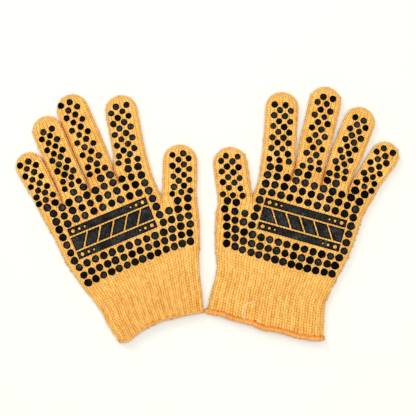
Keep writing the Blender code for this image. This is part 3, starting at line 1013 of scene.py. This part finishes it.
def fibres(points, faces, stitch, count, seed):
    """The knit's points, faces and stitch places with loose fibres added, more of them on its sides."""
    random = np.random.default_rng(seed)
    corners = points[faces]
    normal = np.cross(corners[:, 2] - corners[:, 0], corners[:, 3] - corners[:, 1])
    area = np.linalg.norm(normal, axis=1)
    normal = normal / np.maximum(area, 1e-9)[:, None]
    chance = area * (0.25 + 2.5 * np.clip(0.75 - np.abs(normal[:, 2]), 0, 1))
    flank = area * (np.abs(normal[:, 2]) < 0.55)
    tufts = np.repeat(random.choice(len(faces), count // 45, p=flank / flank.sum()), TUFT)
    chosen = np.concatenate([random.choice(len(faces), count, p=chance / chance.sum()), tufts])
    made, quads = [points], [faces]
    for number, k in enumerate(chosen):
        thick = 1.0 if number < count else TUFT_THICKNESS
        n = normal[k]
        side = np.cross(n, random.normal(size=3))
        side /= np.linalg.norm(side)
        length, lift = random.uniform(0.7, 2.3), random.uniform(0.35, 1.0)
        start = corners[k].mean(0) - 0.1 * n + random.normal(0, 0.3, 3) * (thick > 1)
        bend = random.uniform(-0.5, 0.9)
        turn = np.cross(n, side) * random.uniform(-0.5, 0.5)
        t = np.linspace(0, 1, len(FIBRE_RADII))[:, None]
        rise, curl = lift * n + side * 0.7, bend * side * 0.4 + turn * 0.6 - 0.25 * n
        path = start + length * (t * rise + t * t * curl)
        path[:, 2] = np.maximum(path[:, 2], 0.05)
        hair, hair_faces = tube(path, FIBRE_RADII * thick, FIBRE_SIDES)
        quads.append(hair_faces + len(points) + FIBRE_POINTS * number)
        made.append(hair)
    hair_stitch = np.repeat(stitch[faces[chosen, 0]], FIBRE_POINTS, axis=0)
    return np.vstack(made), np.vstack(quads), np.vstack([stitch, hair_stitch])


# Building


def place(obj, a, b=None, joint=None, forward=None, reach=None):
    """Rides on body a; given b as well, it only has its transform baked into its points. joint is not used.
    """
    if b is None:
        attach(obj, a)
        return
    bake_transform(obj)


def world_direction(hand, direction):
    return direction[0] * hand.thumbwards + direction[1] * hand.up


def pieces_of(hand):
    """{piece: (bodies, joint, direction, reach, replaced nodes)}"""
    name = hand.name
    palm = name + "_palm"
    table = {
        "palm_upper": ((palm,), None, None, None, ("upper_palm",)),
        "palm_lower": ((palm,), None, None, None, ("lower_palm",)),
        "cuff": ((palm, name + "_cuff"), "wrist_fold", -hand.up, WRIST_BEND, ("cuff",)),
    }
    for digit in WALES:
        forward = world_direction(hand, hand.digits[digit]["forward"])
        base, tip = f"{name}_{digit}_base", f"{name}_{digit}_tip"
        reach = THUMB_BEND if digit == "thumb" else BEND
        first_direction = forward if digit == "thumb" else hand.up
        replaced = (digit + "_base",) + (("thumb_root",) if digit == "thumb" else ())
        table[digit + "_base"] = ((palm, base), digit + "_knuckle", first_direction, reach, replaced)
        table[digit + "_tip"] = ((base, tip), digit + "_middle", forward, reach, (digit + "_tip",))
    return table


def build_glove(hand, materials, seed):
    glove, name = hand.glove, hand.name
    grids = glove_grids(hand)
    knit = Knit(grids)
    knit.settle(seed)
    surface = Surface(knit)
    knit.raise_stitches(glove["rib_share"])
    table = pieces_of(hand)
    flip = glove["side"] < 0
    knit_materials = [materials["knit"], materials["fibre"], materials["elastic"]]

    def finish(obj, piece, nodes=()):
        bodies, joint, direction, reach, _ = table[piece]
        place(obj, *bodies, joint=f"{name}_{joint}", forward=direction, reach=reach)
        if nodes:
            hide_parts(*[f"{name}_{node}" for node in nodes])

    for number, piece in enumerate(table):
        used, index = np.unique(knit.faces[knit.pieces == piece], return_inverse=True)
        index = index.reshape(-1, 4)
        points, stitch = knit.points[used], knit.stitch[used]
        if piece == "cuff":
            points, index, stitch = add_lining(grids[-1], points, index, stitch)
        count = max(60, len(index) // 40)
        points, faces, stitch = fibres(points, index, stitch, count, seed * 100 + number)
        slots = np.repeat((0, 1), (len(index), len(faces) - len(index)))
        if piece == "cuff" and "loose_thread" in glove:
            thread, thread_faces = loose_thread(surface, glove["loose_thread"])
            faces = np.vstack([faces, thread_faces + len(points)])
            points = np.vstack([points, thread])
            stitch = np.vstack([stitch, np.zeros((len(thread), 3))])
            slots = np.concatenate([slots, np.full(len(thread_faces), 2)])
        if flip:
            faces = faces[:, ::-1]
        stitch[:, 2] += seed * 7
        obj = mesh_object(f"{name}_{piece}_knit", hand.world(points), faces, knit_materials, stitch, slots)
        finish(obj, piece, table[piece][4])

    def rubber(part, piece, points, faces, rim, nodes=()):
        faces = faces[:, ::-1] if flip else faces
        obj = mesh_object(f"{name}_{part}", hand.world(points), faces, [materials["rubber"]], rim=rim)
        finish(obj, piece, nodes)

    groups = {("palm", "upper"): palm_dots(glove)}
    for digit in WALES:
        dots = digit_dots(hand, digit)
        split = hand.digits[digit]["second"] / 2
        groups[digit, "base"] = [c for s, c in dots if s < split]
        groups[digit, "tip"] = [c for s, c in dots if s >= split]
    sizes = {key: DOT_RADIUS if key[0] == "palm" else FINGER_DOT_RADIUS for key in groups}
    radii = np.concatenate([np.full(len(groups[key]), sizes[key]) for key in groups])
    centres = spread_dots(np.vstack(list(groups.values())), radii, glove)
    start = 0
    for number, (key, group) in enumerate(groups.items()):
        piece = "_".join(key)
        chosen = centres[start:start + len(group)]
        start += len(group)
        part = "palm_dots" if key[0] == "palm" else f"{piece}_dots"
        rubber(part, piece, *dots_mesh(surface, chosen, sizes[key], seed * 50 + number))
    for node, (outline, holes) in panel_shapes(glove).items():
        rubber(node + "_rubber", "palm_upper", *plate(surface, outline, holes), nodes=(node,))

    finish(hem_object(hand, grids[-1], materials), "cuff", ("cuff_hem",))
    for number in range(1, 5):
        thread = elastic_object(hand, grids[-1], number, materials)
        finish(thread, "cuff", (f"cuff_elastic_{number}",))


def elastic_object(hand, cuff, number, materials):
    """An elastic thread run round the inside of the cuff."""
    name = f"{hand.name}_cuff_elastic_{number}"
    level = hand.local([v.co for v in frame["nodes"][name].data.vertices])[:, 1].mean()
    row = int(np.abs(cuff.top[:, :, 1].mean(1) - level).argmin())
    ring = np.vstack([cuff.top[row, ::3], cuff.bottom[row, ::-3]])
    centre_x = (ring[:, 0].min() + ring[:, 0].max()) / 2
    ring[:, 2] = MIDDLE + (ring[:, 2] - MIDDLE) * (1 - ELASTIC_INSET / DEPTH)
    ring[:, 0] = centre_x + (ring[:, 0] - centre_x) * (1 - ELASTIC_INSET / 50)
    ring = ring[np.linalg.norm(ring - np.roll(ring, 1, axis=0), axis=1) > 0.2]
    points, faces = tube(ring, ELASTIC_RADIUS, 8, closed=True)
    return mesh_object(name + "_thread", hand.world(points), faces, [materials["elastic"]])


def loose_thread(surface, way):
    """A pale end of thread lying on the cuff."""
    plan = along_curve(np.arange(len(way)), way, np.linspace(0, len(way) - 1, 40))
    path = np.column_stack([plan, [surface.height(x, y) + 0.9 for x, y in plan]])
    return tube(path, THREAD_RADIUS, 6)


def add_lining(cuff, points, faces, stitch):
    """The inside of the cuff, seen through its mouth."""
    rows = slice(0, int(cuff.shape[0] * 0.75), 3)
    columns = slice(None, None, 2)
    start = len(points)
    new_points, new_faces, new_stitch = [], [], []
    for sheet, sign in ((cuff.top, 1), (cuff.bottom, -1)):
        part = sheet[rows, columns].copy()
        count, width = part.shape[:2]
        centre = (part[:, :1, :2] + part[:, -1:, :2]) / 2
        reach = np.linalg.norm(part[:, -1:, :2] - centre, axis=-1, keepdims=True)
        part[:, :, :2] = centre + (part[:, :, :2] - centre) * (1 - FABRIC / reach)
        part[:, :, 2] = MIDDLE + (part[:, :, 2] - MIDDLE) * (1 - FABRIC / DEPTH)
        index = np.arange(count * width).reshape(count, width) + start
        corners = [index[:-1, :-1], index[1:, :-1], index[1:, 1:], index[:-1, 1:]]
        quads = np.stack(corners, -1).reshape(-1, 4)
        new_points.append(part.reshape(-1, 3))
        new_faces.append(quads if sign > 0 else quads[:, ::-1])
        wale, course = cuff.wale[rows, columns].ravel(), cuff.course[rows, columns].ravel()
        new_stitch.append(np.column_stack([wale, course, np.zeros(count * width)]))
        start += count * width
    return (np.vstack([points, *new_points]), np.vstack([faces, *new_faces]),
            np.vstack([stitch, *new_stitch]))


def hem_object(hand, cuff, materials):
    """The overlocked roll round the cuff's mouth, with a ridge for each stitch."""
    glove = hand.glove
    radius = glove["hem_radius"]
    ring = np.vstack([cuff.top[0], cuff.bottom[0][::-1][1:-1]])
    closed = np.vstack([ring, ring[:1]])
    length = np.concatenate([[0], np.cumsum(np.linalg.norm(np.diff(closed, axis=0), axis=1))])
    count = int(length[-1] / HEM_STEP)
    at = np.arange(count) * length[-1] / count
    path = np.column_stack([np.interp(at, length, closed[:, k]) for k in range(3)])
    centre_x = (ring[:, 0].min() + ring[:, 0].max()) / 2
    path[:, 2] = MIDDLE + (path[:, 2] - MIDDLE) * (1 - HEM_INSET / DEPTH)
    path[:, 0] = centre_x + (path[:, 0] - centre_x) * (1 - HEM_INSET / 55)
    path[:, 1] += 0.17 * radius * ripple(at, at * 0.3, 2, 14) + 0.12 * radius
    path[:, 2] += 0.25 * ripple(at, at * 0.5, 4, 11) * (path[:, 2] > MIDDLE)
    rate = 2 * math.pi / 2.5 * HEM_STEP

    def size(k, turn):
        ridge = np.abs(np.sin(k * rate / 2 + turn * 0.5))
        return radius * (0.8 + 0.34 * ridge + 0.1 * np.sin(k * 0.09 + 1.0) * np.sin(k * 0.037))

    points, faces = tube(path, size, HEM_SIDES, closed=True)
    points[:, 2] = np.maximum(points[:, 2], 0.0)
    across = (points[:, 1] - np.repeat(path[:, 1], HEM_SIDES)) / radius
    # Painted shade: the roll darkens towards both its edges as seen from above, more on the cuff's side.
    shade = 0.6 * smooth(across * 1.8 - 0.3) + 0.4 * smooth(-across * 2.2 - 1.0)
    around = np.tile(np.arange(HEM_SIDES) / 3.5, count)
    stitch = np.column_stack([np.repeat(at / 1.6, HEM_SIDES), around, 3 + shade])
    points, faces, stitch = fibres(points, faces, stitch, 500, 900)
    if glove["side"] < 0:
        faces = faces[:, ::-1]
    return mesh_object(hand.name + "_cuff_hem_roll", hand.world(points), faces,
                       [materials["hem_" + hand.name]], stitch)


def build_stage():
    """The floor, the light of the room and two lamps."""
    bpy.ops.mesh.primitive_plane_add(size=12.0, location=(0, 0, -0.0005))
    floor = bpy.context.active_object
    floor.name = "floor"
    n = Nodes("floor")
    place = n.add("TexCoord").outputs["Object"]
    colours = ((0.3, (0.725, 0.72, 0.665)), (0.7, (0.74, 0.735, 0.68)))
    n.put(n.ramp(n.noise(place, 3.0), colours), n.shader.inputs["Base Color"])
    n.shader.inputs["Roughness"].default_value = 0.9
    n.shader.inputs["Specular IOR Level"].default_value = 0.1
    floor.data.materials.append(n.material)
    world = bpy.data.worlds.new("room")
    world.use_nodes = True
    world.node_tree.nodes["Background"].inputs["Color"].default_value = (1.0, 0.995, 0.985, 1.0)
    world.node_tree.nodes["Background"].inputs["Strength"].default_value = 0.40
    bpy.context.scene.world = world
    lamps = (("window", (-0.9, 1.1, 1.6), 13.0, 0.9), ("softbox", (0.1, 0.05, 2.3), 48.5, 1.2))
    for name, place, power, size in lamps:
        light = bpy.data.lights.new(name, "AREA")
        light.energy, light.size = power, size
        obj = bpy.data.objects.new(name, light)
        obj.location = place
        obj.rotation_euler = (-Vector(place)).to_track_quat("-Z", "Y").to_euler()
        bpy.context.scene.collection.objects.link(obj)
    bpy.context.scene.view_settings.view_transform = "Standard"


def build_camera():
    """Straight above the pair."""
    data = bpy.data.cameras.new("camera")
    camera = bpy.data.objects.new("camera", data)
    distance, view_width = 1.6, 0.4108
    data.sensor_width = 36.0
    data.lens = data.sensor_width * distance / view_width
    data.clip_end = 10.0
    camera.location = (0.0005, 0.0064, distance + 0.008)
    bpy.context.scene.collection.objects.link(camera)
    bpy.context.scene.camera = camera


build_camera()
orange = ((0.41, 0.105, 0.0045), (0.845, 0.44, 0.076), (0.96, 0.68, 0.25))
materials = {
    "knit": knit_material("knit", *orange),
    "fibre": thread_material("fibre", (0.34, 0.15, 0.045), (0.93, 0.6, 0.25)),
    "hem_right": knit_material("hem_right", (0.45, 0.1, 0.005), (0.89, 0.4, 0.06), (1.0, 0.66, 0.24)),
    "hem_left": knit_material("hem_left", (0.55, 0.085, 0.004), (0.93, 0.4, 0.055), (1.0, 0.72, 0.3)),
    "rubber": rubber_material("rubber", (0.0004, 0.0004, 0.0004), (0.022, 0.021, 0.022),
                              (0.11, 0.108, 0.112)),
    "elastic": thread_material("elastic", (0.6, 0.52, 0.4), (0.85, 0.78, 0.66)),
}
for seed, (hand_name, glove) in enumerate(GLOVES.items(), start=1):
    build_glove(Hand(hand_name, glove), materials, seed)
build_stage()
